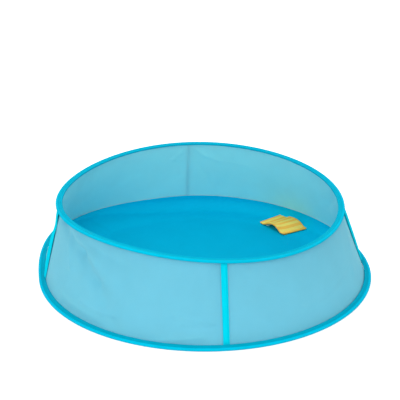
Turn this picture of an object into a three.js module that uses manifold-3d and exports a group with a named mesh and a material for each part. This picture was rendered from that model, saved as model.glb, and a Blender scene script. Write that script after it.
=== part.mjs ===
// A pop-up baby bath: a round cloth tub held open by two sprung wire hoops.
// Four leaning wall panels meet at four seams. A bendy stay in a tape sleeve stiffens each seam.
// The floor cloth turns up the wall a little way, and a striped flap closes the drain in it.
// Millimetres, +Z up. The origin is the middle of the underside, and angles run from -Y towards +X.

import * as THREE from 'three';
import { mergeVertices } from 'three/addons/utils/BufferGeometryUtils.js';
import Module from 'manifold-3d';

const clearance = 0.3; // between two pieces that touch
const overrun = 5; // how far a cutter reaches past what it cuts
const facets = 72; // flats round each large ring
const drainSides = 32;
const stopperSides = 24;
const tubeSides = 8;
const wireSides = 6;
const arcStep = 45; // degrees between the points of a band's bulge

// Hoops: the rim hoop leans and waves a little, as sprung wire does, and the base hoop lies flat
// but for a swell from the left seam to the back one, where it bulges out, lifts and tilts
const baseRadius = 500;
const baseWireRadius = 1.75;
const swellReach = 36;
const swellLift = 24;
const swellTiltShare = 0.44; // rise for each step inwards
const swellPeakShare = 0.475; // of the way from the left seam to the back one
const rimRadius = 428;
const rimHeight = 243.5;
const rimWireRadius = 1.5;
const rimLean = 14;
const rimLeanAngle = -97;
const rimTilt = 10.6;
const rimSaddle = 10.5;
const rimRipple = 3.3;
const rimWaves = [
  { lobes: 1, rise: rimTilt, peak: -113 },
  { lobes: 2, rise: rimSaddle, peak: -32.5 },
  { lobes: 3, rise: rimRipple, peak: -44 },
];

// Crimped tube that joins the two ends of each hoop wire
const ferruleLength = 24;
const ferruleWall = 0.5;
const wireEndGap = 1;
const baseFerruleAngle = -135;
const rimFerruleAngle = 45;

// Sewn bands round the hoops
const bandTape = 1.2;
const baseBandWidth = 18; // underneath
const baseLipWidth = 20; // on top, where it leans on the wall
const baseGrooveWidth = 5.5;
const baseRidgeWidth = 4;
const baseGrooveHeight = 7.6;
const baseRidgeHeight = 10.6;
const baseLipHeight = 10.2;
const rimBandWidth = 20.4;
const rimGrooveWidth = 8;
const rimGrooveDepth = 1.2;
const rimLipDrop = 4.6;
const rimSlitWidth = 4.6;

// Wall panels
const wallThickness = 1.6;
const wallFootHeight = 0.5;
const wallHeadDrop = 2.1;
const wallHeadInset = 0.8;
const seamGap = 1;
const panelBow = 5;
const panelBowStart = 15; // above the floor cloth's piping
const panelRows = 10;

// Creases in the cloth, each from a seam corner, in shares of its panel's width and height.
// A lift share below 0 is a crease that sinks in
const creaseWidth = 18;
const creaseLift = 5;
const creases = [
  { panel: 'front_left', fromShares: [0.08, 0.99], toShares: [0.58, 0.02], widthShare: 1, liftShare: 1 },
  { panel: 'front_left', fromShares: [0.06, 0.98], toShares: [0.36, 0.7], widthShare: 0.8, liftShare: -1 },
  { panel: 'front_left', fromShares: [0.1, 0.98], toShares: [0.62, 0.72], widthShare: 0.8, liftShare: 0.7 },
  { panel: 'back_left', fromShares: [0.02, 0.98], toShares: [0.4, 0.6], widthShare: 0.9, liftShare: 0.6 },
  { panel: 'back_right', fromShares: [0.98, 0.98], toShares: [0.72, 0.5], widthShare: 0.7, liftShare: 0.4 },
];

// Seams: a flat tape sleeve with a stay in it
const seamTapeWidth = 20;
const seamTapeThickness = 1;
const seamTapeFold = 0.2;
const seamTapeSlit = 2;
const seamTapeFootHeight = 12;
const seamTapeHeadDrop = 11.6;
const seamTapeHeadGap = 4; // from the wall's face, under the rim band
const seamChannelSlope = 3.6;
const stayRadius = 1.25;
const stayEndGap = 4;
const tipWall = 0.35;
const tipLength = 10;
const tipEnd = 1.5;
const stayTipGap = 0.4;

// Floor cloth
const floorThickness = 2;
const floorTurnUp = 43; // on average
const floorTurnUpWave = { rise: 14, peak: -122 };
const floorCorner = 12;
const floorFlatInset = 80; // from the wall's foot, beyond which the floor climbs with the base hoop
const pipingSize = 2.2;

// Drain and its flap, each so far in from the base band's inner edge
const drainInset = 70;
const drainAngle = 135;
const drainBore = 28;
const drainSpigotWall = 2;
const drainSpigotEnd = 0.5;
const drainFlangeGap = 5; // from the patches under the flap's two ends
const drainFlangeThickness = 2;
const stopperDiameter = 44;
const stopperEdge = 2.4;
const flapLength = 112;
const flapWidth = 83;
const flapThickness = 1.6;
const flapTurn = 120;
const flapArch = 11;
const flapCornerLift = 10;
const flapPeakShare = 0.42;
const flapInset = 74;
const flapCentreAngle = 135.3;
const flapHem = 3.5;
const flapHemThickness = 2.6;
const flapRows = 14;
const flapColumns = 4;
const patchLength = 16;
const patchMargin = 6;
const anchorLength = 14;
const anchorThickness = 1.6;
const drainFlange = flapLength - 2 * (patchMargin + patchLength + drainFlangeGap);
const stopperRoofShares = [0.35, 0.7]; // of the stopper's radius, where its dome bends
const stopperSideShares = [-1, -0.5, 0, 0.5, 1]; // along the flap, where the dome keeps clear of it

const colors = {
  wall: 0x73c9e2,
  band: 0x00bfe6,
  floor: 0x00a2d2,
  piping: 0xd9dccd,
  lime: 0xc8cd5f,
  orange: 0xf9b24a,
  patch: 0xf2f2ee,
  wire: 0x9aa0a6,
  ferrule: 0xb9bdc1,
  stay: 0xe9e6da,
  tip: 0x2b2b2b,
  drain: 0xe4edf0,
};

const wasm = await Module();
wasm.setup();

const bath = new THREE.Group();

const radians = (degrees) => THREE.MathUtils.degToRad(degrees);
const mix = (a, b, share) => a + (b - a) * share;

/** Adds a named piece to its group. */
function addPiece(parent, name, geometry, color, roughness = 0.85, metalness = 0) {
  const piece = new THREE.Mesh(geometry, new THREE.MeshStandardMaterial({ color, roughness, metalness }));
  piece.name = name;
  parent.add(piece);
  return piece;
}

/** The closed solid of a geometry, as the boolean library holds it. */
function solidOf(geometry) {
  const bare = geometry.index ? geometry.clone() : geometry;
  bare.deleteAttribute('normal');
  bare.deleteAttribute('uv');
  const merged = mergeVertices(bare);
  return new wasm.Manifold(new wasm.Mesh({
    numProp: 3,
    vertProperties: new Float32Array(merged.attributes.position.array),
    triVerts: new Uint32Array(merged.index.array),
  }));
}

/** One geometry less another. */
function cut(geometry, cutter) {
  const mesh = solidOf(geometry).subtract(solidOf(cutter)).getMesh();
  const result = new THREE.BufferGeometry();
  result.setAttribute('position', new THREE.BufferAttribute(mesh.vertProperties, 3));
  result.setIndex(new THREE.BufferAttribute(mesh.triVerts, 1));
  return result;
}

/** Moves each vertex of a geometry to where place says. */
function reshape(geometry, place) {
  const position = geometry.attributes.position;
  for (let i = 0; i < position.count; i += 1) {
    const moved = place(position.getX(i), position.getY(i), position.getZ(i));
    position.setXYZ(i, moved.x, moved.y, moved.z);
  }
  return geometry;
}

/** The unit vector that points outwards at an angle. */
function outward(angle) {
  return new THREE.Vector3(Math.sin(radians(angle)), -Math.cos(radians(angle)), 0);
}

/** A closed outline of even thickness round an open line, square at both ends. */
function tapeOutline(line, thickness) {
  const half = thickness / 2;
  const left = [];
  const right = [];
  line.forEach((point, i) => {
    const before = line[Math.max(i - 1, 0)];
    const after = line[Math.min(i + 1, line.length - 1)];
    const intoDirection = point.clone().sub(before).normalize();
    const outDirection = after.clone().sub(point).normalize();
    const along = intoDirection.clone().add(outDirection).normalize();
    const normal = new THREE.Vector2(-along.y, along.x);
    const lengthShare = i > 0 && i < line.length - 1 ? Math.abs(along.dot(outDirection)) : 1;
    left.push(point.clone().addScaledVector(normal, half / lengthShare));
    right.unshift(point.clone().addScaledVector(normal, -half / lengthShare));
  });
  return [...left, ...right];
}

/** A closed outline spun about Z. Its points are radius and height, anticlockwise. */
function spin(outline) {
  const points = THREE.ShapeUtils.area(outline) < 0 ? [...outline].reverse() : [...outline];
  const onAxis = points[0].x === 0 && points[points.length - 1].x === 0;
  if (!onAxis) points.push(points[0].clone());
  return new THREE.LatheGeometry(points, facets).rotateX(Math.PI / 2);
}

/** A half circle of points, from its foot round the outside to its top. */
function outerArc(centre, radius) {
  return [-2, -1, 0, 1, 2].map((step) => step * arcStep).map((degrees) => new THREE.Vector2(
    centre.x + radius * Math.cos(radians(degrees)),
    centre.y + radius * Math.sin(radians(degrees)),
  ));
}

// Base hoop: its swell at each angle
const quarter = 90;
const swellSkew = Math.log(0.5) / Math.log(swellPeakShare);

/** How much of the swell there is at an angle. */
function swellShare(angle) {
  const fromLeft = (3 * quarter - THREE.MathUtils.euclideanModulo(angle, 4 * quarter)) / quarter;
  return Math.sin(Math.PI * THREE.MathUtils.clamp(fromLeft, 0, 1) ** swellSkew) ** 2;
}

/** Where a point of a plain round base goes with the swell. */
function basePlace(x, y, z) {
  const radius = Math.hypot(x, y);
  const share = swellShare(THREE.MathUtils.radToDeg(Math.atan2(x, -y)));
  const point = new THREE.Vector3(x, y, 0).multiplyScalar(1 + (swellReach * share) / radius);
  return point.setZ(z + share * (swellLift + swellTiltShare * (baseRadius - radius)));
}

// Rim hoop: where it leans to, and how high it rides at each angle
const leanOffset = outward(rimLeanAngle).multiplyScalar(rimLean);

function rimRise(angle) {
  const rises = rimWaves.map((wave) => wave.rise * Math.cos(wave.lobes * radians(angle - wave.peak)));
  return rises.reduce((sum, rise) => sum + rise, 0);
}

/** Where a ring of the rim meets a direction from the base's middle, so far below the band's top. */
function rimPoint(angle, radius, drop) {
  const out = outward(angle);
  const along = leanOffset.dot(out);
  const point = out.multiplyScalar(along + Math.sqrt(radius ** 2 - rimLean ** 2 + along ** 2));
  const hoopAngle = Math.atan2(point.x - leanOffset.x, leanOffset.y - point.y);
  return point.setZ(rimHeight + rimRise(THREE.MathUtils.radToDeg(hoopAngle)) - drop);
}

/** Where a point of a plain round rim, with its top at 0, goes on the rim hoop. */
function rimPlace(x, y, z) {
  const angle = THREE.MathUtils.radToDeg(Math.atan2(x, -y));
  return new THREE.Vector3(x + leanOffset.x, y + leanOffset.y, z + rimHeight + rimRise(angle));
}

// Wall: a straight line from the foot ring to the head ring at each angle
const bulgeSpace = ferruleWall + 3 * clearance + bandTape / 2;
const bulgeSpread = 1 / Math.cos(radians(arcStep / 2));
const baseBulge = (baseWireRadius + bulgeSpace) * bulgeSpread;
const rimBulge = (rimWireRadius + bulgeSpace) * bulgeSpread;
const baseBandInner = baseRadius - baseBandWidth;
const rimBandInner = rimRadius - rimBandWidth;
const wallFootRadius = baseBandInner - clearance;
const wallHeadRadius = rimBandInner + bandTape + wallHeadInset + wallThickness;
const facetAngle = 4 * quarter / facets;
const panels = ['front_right', 'back_right', 'back_left', 'front_left'];

function wallFoot(angle) {
  const foot = outward(angle).multiplyScalar(wallFootRadius);
  return basePlace(foot.x, foot.y, wallFootHeight);
}

function wallHead(angle) {
  return rimPoint(angle, wallHeadRadius, wallHeadDrop);
}

/** How far up the wall a height is, as a share. */
function wallShare(angle, height) {
  const foot = wallFoot(angle).z;
  return (height - foot) / (wallHead(angle).z - foot);
}

/** The point of the wall's outer face at an angle and a share of its height. */
function wallPoint(angle, upShare) {
  return wallFoot(angle).lerp(wallHead(angle), upShare);
}

/** How far a crease lifts the cloth at a place on its panel. */
function creaseRise(crease, acrossShare, upShare) {
  const width = wallFootRadius * radians(quarter);
  const from = new THREE.Vector2(crease.fromShares[0] * width, crease.fromShares[1] * rimHeight);
  const to = new THREE.Vector2(crease.toShares[0] * width, crease.toShares[1] * rimHeight);
  const here = new THREE.Vector2(acrossShare * width, upShare * rimHeight);
  const along = to.clone().sub(from);
  const share = THREE.MathUtils.clamp(here.clone().sub(from).dot(along) / along.lengthSq(), 0, 1);
  const nearest = from.clone().addScaledVector(along, share);
  const away = here.distanceTo(nearest) / (creaseWidth * crease.widthShare);
  return creaseLift * crease.liftShare * Math.sin(Math.PI * Math.sqrt(share)) * Math.exp(-away * away);
}

/** How far the turned-up edge of the floor cloth is above or below its average. */
function turnUpRise(angle) {
  return floorTurnUpWave.rise * Math.cos(radians(angle - floorTurnUpWave.peak));
}

/** How far the cloth stands in from its straight line, with the crease lift taken off. */
function wallInset(panel, acrossShare, angle, upShare) {
  const turnUpShare = wallShare(angle, floorTurnUp + turnUpRise(angle) + pipingSize + panelBowStart);
  const freeShare = THREE.MathUtils.clamp((upShare - turnUpShare) / (1 - turnUpShare), 0, 1);
  const bow = panelBow * Math.sin(Math.PI * acrossShare) ** 2 * Math.sin(Math.PI * freeShare);
  const edge = Math.sin(Math.PI * acrossShare) * Math.sin(Math.PI * freeShare);
  const lift = creases.filter((crease) => crease.panel === panel)
    .reduce((sum, crease) => sum + creaseRise(crease, acrossShare, upShare), 0);
  return bow - lift * Math.min(1, Math.sqrt(Math.max(edge, 0)) * 2);
}

/** One wall panel: a slab bent between two seams, with its folds. */
function wallPanel(panel, index) {
  const columns = facets / panels.length;
  const slab = new THREE.BoxGeometry(1, 1, 1, columns, panelRows, 1);
  const seamAngle = THREE.MathUtils.radToDeg(seamGap / 2 / wallFootRadius);
  return reshape(slab, (x, y, z) => {
    const acrossShare = x + 0.5;
    const upShare = y + 0.5;
    const atSeam = Math.abs(x) > 0.5 - 0.5 / columns;
    const angle = index * quarter + acrossShare * quarter - (atSeam ? Math.sign(x) * seamAngle : 0);
    const inset = wallInset(panel, acrossShare, angle, upShare) + (0.5 - z) * wallThickness;
    return wallPoint(angle, upShare).addScaledVector(outward(angle), -inset);
  });
}

panels.forEach((panel, index) => addPiece(bath, `wall_${panel}`, wallPanel(panel, index), colors.wall));

// Base band: a folded tape round the base hoop, flat underneath, open where the wall's foot stands
function baseBandLine() {
  const centre = new THREE.Vector2(baseRadius - baseBulge - bandTape / 2, baseBulge + bandTape / 2);
  const grooveRadius = centre.x - baseGrooveWidth;
  return [
    new THREE.Vector2(baseBandInner, bandTape / 2),
    ...outerArc(centre, baseBulge),
    new THREE.Vector2(grooveRadius, baseGrooveHeight),
    new THREE.Vector2(grooveRadius - baseRidgeWidth, baseRidgeHeight),
    new THREE.Vector2(baseRadius - baseLipWidth, baseLipHeight),
  ];
}

const baseBand = reshape(spin(tapeOutline(baseBandLine(), bandTape)), basePlace);
addPiece(bath, 'base_band', baseBand, colors.band);

// Rim band: the same tape round the rim hoop, its slit over the wall's head
function rimBandLine() {
  const centre = new THREE.Vector2(rimRadius - rimBulge - bandTape / 2, -rimBulge - bandTape / 2);
  const lip = rimBandInner + bandTape / 2;
  return [
    new THREE.Vector2(rimBandInner + bandTape + rimSlitWidth, -bandTape / 2 - rimLipDrop),
    ...outerArc(centre, rimBulge),
    new THREE.Vector2(centre.x - rimGrooveWidth, -bandTape / 2 - rimGrooveDepth),
    new THREE.Vector2(lip, -bandTape / 2),
    new THREE.Vector2(lip, -bandTape / 2 - rimLipDrop),
  ];
}

const rimBand = reshape(spin(tapeOutline(rimBandLine(), bandTape)), rimPlace);
addPiece(bath, 'rim_band', rimBand, colors.band);

/** The hexagon of a wire, about a point of the spun outline. */
function wireOutline(centre, radius) {
  return Array.from({ length: wireSides }, (unused, i) => {
    const turn = (2 * Math.PI * i) / wireSides;
    return new THREE.Vector2(centre.x + radius * Math.cos(turn), centre.y + radius * Math.sin(turn));
  });
}

/** Where a hoop's ferrule sits: the middle of one flat, and the way the wire runs there. */
function ferrulePlace(radius, height, startAngle, place) {
  const ends = [startAngle, startAngle + facetAngle].map((angle) => {
    const end = outward(angle).multiplyScalar(radius);
    return place(end.x, end.y, height);
  });
  const middle = ends[0].clone().lerp(ends[1], 0.5);
  return { middle, along: ends[1].sub(ends[0]).normalize() };
}

/** A ring of wire along a hoop. Its section stays round where the hoop swells. */
function wireRing(centre, radius, place) {
  return reshape(spin(wireOutline(centre, radius)), (x, y, z) => {
    const middle = new THREE.Vector3(x, y, 0).setLength(centre.x).setZ(centre.y);
    const offset = new THREE.Vector3(x, y, z).sub(middle);
    return place(middle.x, middle.y, middle.z).add(offset);
  });
}

/** A hoop wire with its two ends a little apart, and the ferrule over them. */
function addHoop(name, centre, radius, startAngle, place) {
  const ring = wireRing(centre, radius, place);
  const { middle, along } = ferrulePlace(centre.x, centre.y, startAngle, place);
  const turn = new THREE.Quaternion().setFromUnitVectors(new THREE.Vector3(0, 0, 1), along);
  const slot = new THREE.BoxGeometry(overrun + 2 * radius, overrun + 2 * radius, wireEndGap);
  slot.applyQuaternion(turn).translate(middle.x, middle.y, middle.z);
  addPiece(bath, `${name}_wire`, cut(ring, slot), colors.wire, 0.3, 1);
  const bore = radius + clearance;
  const tube = new THREE.Shape().absarc(0, 0, bore + ferruleWall, 0, 2 * Math.PI);
  tube.holes.push(new THREE.Path().absarc(0, 0, bore, 0, 2 * Math.PI, true));
  const extrusion = { depth: ferruleLength, bevelEnabled: false, curveSegments: tubeSides };
  const ferrule = new THREE.ExtrudeGeometry(tube, extrusion);
  ferrule.translate(0, 0, -ferruleLength / 2).applyQuaternion(turn);
  ferrule.translate(middle.x, middle.y, middle.z);
  addPiece(bath, `${name}_ferrule`, ferrule, colors.ferrule, 0.35, 1);
}

const baseWireCentre = new THREE.Vector2(baseRadius - baseBulge - bandTape / 2, baseBulge + bandTape / 2);
const rimWireCentre = new THREE.Vector2(rimRadius - rimBulge - bandTape / 2, -rimBulge - bandTape / 2);
addHoop('base_hoop', baseWireCentre, baseWireRadius, baseFerruleAngle, basePlace);
addHoop('rim_hoop', rimWireCentre, rimWireRadius, rimFerruleAngle, rimPlace);

// Seams: each has a folded tape sleeve that leans from the base band to the rim band, and a stay in it
const tipRadius = stayRadius + clearance + tipWall;
const channelRadius = tipRadius + clearance + seamTapeThickness / 2;
const stayDepth = seamTapeThickness / 2 + channelRadius;

function seamTapeShape() {
  const back = seamTapeThickness / 2;
  const edge = (seamTapeWidth - seamTapeThickness) / 2;
  const fold = back + seamTapeThickness + seamTapeFold;
  const front = stayDepth + channelRadius;
  const half = [
    new THREE.Vector2(seamTapeSlit / 2, back),
    new THREE.Vector2(edge, back),
    new THREE.Vector2(edge, fold),
    new THREE.Vector2(channelRadius + seamChannelSlope, fold),
    new THREE.Vector2(channelRadius, front),
  ];
  const mirrored = half.map((point) => new THREE.Vector2(-point.x, point.y)).reverse();
  return new THREE.Shape(tapeOutline([...half, ...mirrored], seamTapeThickness));
}

/** A rubber cup for a stay's end, closed at its foot. */
function stayTip() {
  const bore = stayRadius + clearance;
  const outline = [
    new THREE.Vector2(0, 0),
    new THREE.Vector2(tipRadius, 0),
    new THREE.Vector2(tipRadius, tipLength),
    new THREE.Vector2(bore, tipLength),
    new THREE.Vector2(bore, tipEnd),
    new THREE.Vector2(0, tipEnd),
  ];
  return new THREE.LatheGeometry(outline, tubeSides).rotateX(Math.PI / 2);
}

/** A seam's tape sleeve, its stay and the stay's two tips, stood up the wall at an angle. */
function addSeam(name, angle) {
  const footShare = wallShare(angle, seamTapeFootHeight);
  const foot = wallPoint(angle, footShare).addScaledVector(outward(angle), clearance);
  const headShare = wallShare(angle, wallHead(angle).z + wallHeadDrop - seamTapeHeadDrop);
  const head = wallPoint(angle, headShare).addScaledVector(outward(angle), seamTapeHeadGap);
  const up = head.clone().sub(foot);
  const length = up.length();
  up.normalize();
  const side = outward(angle).cross(up).normalize();
  const seam = new THREE.Group();
  seam.quaternion.setFromRotationMatrix(new THREE.Matrix4().makeBasis(side, up.clone().cross(side), up));
  seam.position.copy(foot);
  bath.add(seam);
  const tape = new THREE.ExtrudeGeometry(seamTapeShape(), { depth: length, bevelEnabled: false });
  addPiece(seam, `seam_tape_${name}`, tape, colors.band);
  const stayLength = length - 2 * (stayEndGap + tipEnd + stayTipGap);
  const rod = new THREE.CylinderGeometry(stayRadius, stayRadius, stayLength, tubeSides).rotateX(Math.PI / 2);
  addPiece(seam, `seam_stay_${name}`, rod, colors.stay, 0.4).position.set(0, stayDepth, length / 2);
  const lower = addPiece(seam, `stay_tip_${name}_lower`, stayTip(), colors.tip, 0.7);
  lower.position.set(0, stayDepth, stayEndGap);
  const upper = addPiece(seam, `stay_tip_${name}_upper`, stayTip(), colors.tip, 0.7);
  upper.rotation.x = Math.PI;
  upper.position.set(0, stayDepth, length - stayEndGap);
}

['front', 'right', 'back', 'left'].forEach((name, index) => addSeam(name, index * quarter));

// Floor cloth: a flat disc whose edge turns up inside the wall, with a hole for the drain
const drainCentre = outward(drainAngle).multiplyScalar(baseBandInner - drainInset);
const spigotRadius = drainBore / 2 + drainSpigotWall;

/** The radius of the wall's inner face at a height, for a rim that neither leans nor waves. */
function plainWallInner(height) {
  const share = (height - wallFootHeight) / (rimHeight - wallHeadDrop - wallFootHeight);
  return mix(wallFootRadius, wallHeadRadius, share) - wallThickness;
}

const floorEdge = plainWallInner(wallFootHeight) - clearance;
const floorFlatRadius = floorEdge - floorFlatInset;

/** Leans a ring inside the wall as the wall leans at each angle. Its foot climbs with the base hoop. */
function followWall(geometry) {
  return reshape(geometry, (x, y, z) => {
    const angle = THREE.MathUtils.radToDeg(Math.atan2(x, -y));
    const outShare = (Math.hypot(x, y) - floorFlatRadius) / floorFlatInset;
    const edgeShare = THREE.MathUtils.clamp(outShare, 0, 1);
    const upShare = THREE.MathUtils.clamp((z - floorThickness) / (floorTurnUp - floorThickness), 0, 1);
    const foot = wallFoot(angle).z;
    const climb = (foot - wallFootHeight) * edgeShare * (1 - upShare);
    const height = z + turnUpRise(angle) * upShare + climb;
    const wall = wallPoint(angle, wallShare(angle, Math.max(height, foot)));
    wall.addScaledVector(outward(angle), -wallThickness);
    const plain = outward(angle).multiplyScalar(plainWallInner(Math.max(z, wallFootHeight)));
    const nearWall = upShare > 0 ? 1 : edgeShare;
    return new THREE.Vector3(x + (wall.x - plain.x) * nearWall, y + (wall.y - plain.y) * nearWall, height);
  });
}

function floorCloth() {
  const faceAt = (height, depth) => new THREE.Vector2(plainWallInner(height) - clearance - depth, height);
  const inner = faceAt(floorThickness + floorCorner, floorThickness);
  const outline = [
    new THREE.Vector2(0, 0),
    new THREE.Vector2(floorFlatRadius, 0),
    new THREE.Vector2(floorEdge, 0),
    faceAt(floorTurnUp, 0),
    faceAt(floorTurnUp, floorThickness),
    inner,
    new THREE.Vector2(inner.x - floorCorner / 4, floorThickness + floorCorner / 4),
    new THREE.Vector2(inner.x - floorCorner, floorThickness),
    new THREE.Vector2(floorFlatRadius, floorThickness),
    new THREE.Vector2(0, floorThickness),
  ];
  const holeRadius = spigotRadius + clearance;
  const hole = new THREE.CylinderGeometry(holeRadius, holeRadius, floorThickness + 2 * overrun, drainSides);
  hole.rotateX(Math.PI / 2).translate(drainCentre.x, drainCentre.y, 0);
  return cut(followWall(spin(outline)), hole);
}

addPiece(bath, 'floor_cloth', floorCloth(), colors.floor, 0.7);

/** The piping sewn on the turned-up edge of the floor cloth. */
function floorPiping() {
  const foot = floorTurnUp + clearance;
  const head = foot + pipingSize;
  return followWall(spin([
    new THREE.Vector2(plainWallInner(foot) - clearance - pipingSize, foot),
    new THREE.Vector2(plainWallInner(foot) - clearance, foot),
    new THREE.Vector2(plainWallInner(head) - clearance, head),
    new THREE.Vector2(plainWallInner(head) - clearance - pipingSize, head),
  ]));
}

addPiece(bath, 'floor_piping', floorPiping(), colors.piping, 0.8);

// Drain seat: a soft flange on the floor cloth with a spigot through it
const seatFoot = floorThickness + clearance;
const seatTop = seatFoot + drainFlangeThickness;

function drainSeat() {
  const outline = [
    new THREE.Vector2(drainBore / 2, drainSpigotEnd),
    new THREE.Vector2(spigotRadius, drainSpigotEnd),
    new THREE.Vector2(spigotRadius, seatFoot),
    new THREE.Vector2(drainFlange / 2, seatFoot),
    new THREE.Vector2(drainFlange / 2 - drainFlangeThickness / 2, seatTop),
    new THREE.Vector2(drainBore / 2, seatTop),
  ];
  return new THREE.LatheGeometry([...outline, outline[0].clone()], drainSides).rotateX(Math.PI / 2);
}

addPiece(bath, 'drain_seat', drainSeat(), colors.drain, 0.45).position.copy(drainCentre);

// Flap: an arched strip of striped cloth, hinged along one end, in its own frame:
// X runs from the hinge to the free end, Y across, Z up, with the origin mid-hinge on the floor
const flap = new THREE.Group();
const flapCentre = outward(flapCentreAngle).multiplyScalar(baseBandInner - flapInset);
const flapWay = new THREE.Vector3(Math.cos(radians(flapTurn)), Math.sin(radians(flapTurn)), 0);
flap.position.copy(flapCentre).addScaledVector(flapWay, -flapLength / 2);
flap.rotation.z = radians(flapTurn);
bath.add(flap);

const flapSkew = Math.log(0.5) / Math.log(flapPeakShare);
const flapRest = floorThickness + clearance + anchorThickness + clearance;

/** The flap's underside at a share of its length and half width. Its corner by the wall is lifted. */
function flapHeight(share, sideShare) {
  const flatShare = patchLength / flapLength;
  const free = THREE.MathUtils.clamp((share - flatShare) / (1 - 2 * flatShare), 0, 1);
  const corner = THREE.MathUtils.smoothstep(share, 0.5, 1) * THREE.MathUtils.smoothstep(-sideShare, 0, 1);
  return flapRest + flapArch * Math.sin(Math.PI * free ** flapSkew) + flapCornerLift * corner;
}

/** A slab that follows the flap's arch, between two shares of its length. */
function archedSlab(fromX, toX, width, foot, head) {
  return reshape(new THREE.BoxGeometry(1, 1, 1, flapRows, flapColumns, 1), (x, y, z) => {
    const along = mix(fromX, toX, x + 0.5);
    const height = flapHeight(along / flapLength, (2 * y * width) / flapWidth);
    return new THREE.Vector3(along, y * width, height + mix(foot, head, z + 0.5));
  });
}

/** The flap's cloth, inside its rolled binding. */
function flapCloth() {
  const foot = (flapHemThickness - flapThickness) / 2;
  const inset = flapHem + clearance;
  return archedSlab(inset, flapLength - inset, flapWidth - 2 * inset, foot, foot + flapThickness);
}

function flapBinding() {
  const ring = archedSlab(0, flapLength, flapWidth, 0, flapHemThickness);
  const width = flapWidth - 2 * flapHem;
  const hole = archedSlab(flapHem, flapLength - flapHem, width, -overrun, flapHemThickness + overrun);
  return cut(ring, hole);
}

addPiece(flap, 'drain_flap', flapCloth(), colors.lime);
addPiece(flap, 'drain_flap_binding', flapBinding(), colors.orange);

/** A flat patch under one end of the flap, on the side away from the wall. */
function patch(fromX, foot, length, thickness) {
  const width = flapWidth / 2 - patchMargin;
  const slab = new THREE.BoxGeometry(length, width, thickness);
  return slab.translate(fromX + length / 2, width / 2, foot + thickness / 2);
}

// The anchor tape joins the hinge end to the floor. The hook and loop patches hold the free end
const patchFoot = floorThickness + clearance;
const hookFromX = flapLength - patchMargin - patchLength;
const patchThickness = (anchorThickness - clearance) / 2;
const hookFoot = patchFoot + patchThickness + clearance;
addPiece(flap, 'drain_flap_anchor', patch(flapHem, patchFoot, anchorLength, anchorThickness), colors.orange);
const loopPatch = patch(hookFromX, patchFoot, patchLength, patchThickness);
const hookPatch = patch(hookFromX, hookFoot, patchLength, patchThickness);
addPiece(flap, 'flap_loop_patch', loopPatch, colors.patch, 0.95);
addPiece(flap, 'flap_hook_patch', hookPatch, colors.patch, 0.95);

// Drain stopper: a soft domed pad under the flap that lies on the drain seat
function drainStopper() {
  const foot = seatTop + clearance;
  const radius = stopperDiameter / 2;
  const centreX = drainCentre.clone().sub(flap.position).dot(flapWay);
  const roof = (share) => {
    const places = stopperSideShares.map((sideShare) => centreX + sideShare * share * radius);
    return Math.min(...places.map((along) => flapHeight(along / flapLength, 0))) - clearance;
  };
  const [innerShare, outerShare] = stopperRoofShares;
  const outline = [
    new THREE.Vector2(0, foot),
    new THREE.Vector2(radius, foot),
    new THREE.Vector2(radius, foot + stopperEdge),
    new THREE.Vector2(radius * outerShare, roof(outerShare)),
    new THREE.Vector2(radius * innerShare, roof(innerShare)),
    new THREE.Vector2(0, roof(innerShare)),
  ];
  return new THREE.LatheGeometry(outline, stopperSides).rotateX(Math.PI / 2);
}

addPiece(bath, 'drain_stopper', drainStopper(), colors.drain, 0.45).position.copy(drainCentre);

export default bath;
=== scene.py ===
import math

import bpy
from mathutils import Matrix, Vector, noise


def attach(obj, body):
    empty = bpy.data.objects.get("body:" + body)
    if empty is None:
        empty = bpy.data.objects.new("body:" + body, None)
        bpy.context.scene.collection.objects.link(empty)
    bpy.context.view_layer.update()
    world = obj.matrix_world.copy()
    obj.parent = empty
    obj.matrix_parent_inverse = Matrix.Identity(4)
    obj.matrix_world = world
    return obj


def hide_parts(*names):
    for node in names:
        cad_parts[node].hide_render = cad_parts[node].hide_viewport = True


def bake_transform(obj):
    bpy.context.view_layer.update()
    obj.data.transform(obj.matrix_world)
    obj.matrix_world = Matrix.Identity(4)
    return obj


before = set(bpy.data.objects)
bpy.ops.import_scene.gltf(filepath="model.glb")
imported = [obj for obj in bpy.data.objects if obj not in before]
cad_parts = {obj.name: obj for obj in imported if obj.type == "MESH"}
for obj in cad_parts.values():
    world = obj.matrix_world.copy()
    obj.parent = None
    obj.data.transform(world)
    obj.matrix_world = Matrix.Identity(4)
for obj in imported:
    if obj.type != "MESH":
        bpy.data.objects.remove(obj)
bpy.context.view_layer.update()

MM = 0.001

# Hoops. The base hoop swells out, lifts and tilts between the left seam and the back one
BASE_RADIUS = 500 * MM
SWELL_REACH = 36 * MM
SWELL_LIFT = 24 * MM
SWELL_TILT_SHARE = 0.44  # rise for each step inwards
SWELL_PEAK_SHARE = 0.475
RIM_RADIUS = 428 * MM
RIM_HEIGHT = 243.5 * MM
RIM_LEAN = 14 * MM
RIM_LEAN_ANGLE = -97
RIM_WAVES = [(1, 10.6 * MM, -113), (2, 10.5 * MM, -32.5), (3, 3.3 * MM, -44)]  # lobes, rise, peak
QUARTER = 90
SEAM_ANGLES = {"front": 0, "right": 90, "back": 180, "left": 270}
PANEL_STARTS = {"front_right": 0, "back_right": 90, "back_left": 180, "front_left": 270}

# Wall cloth
WALL_FOOT_RADIUS = 481.7 * MM
WALL_FOOT_HEIGHT = 0.5 * MM
WALL_HEAD_RADIUS = 411.2 * MM
WALL_HEAD_DROP = 2.1 * MM
WALL_CLOTH = 0.8 * MM
WALL_DEPTH = 0.8 * MM
WALL_BOW = 5 * MM
BOW_GAP = 15 * MM  # how far over the piping the cloth starts to bow
WALL_LOW_SHARE = 0.004  # where on the slant the cloth starts, and how much of it there is
WALL_CLOTH_SHARE = 0.994
RIPPLE = 1.8 * MM
CRUMPLE = 0.8 * MM
SEAM_GAP = 0.4 * MM

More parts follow.
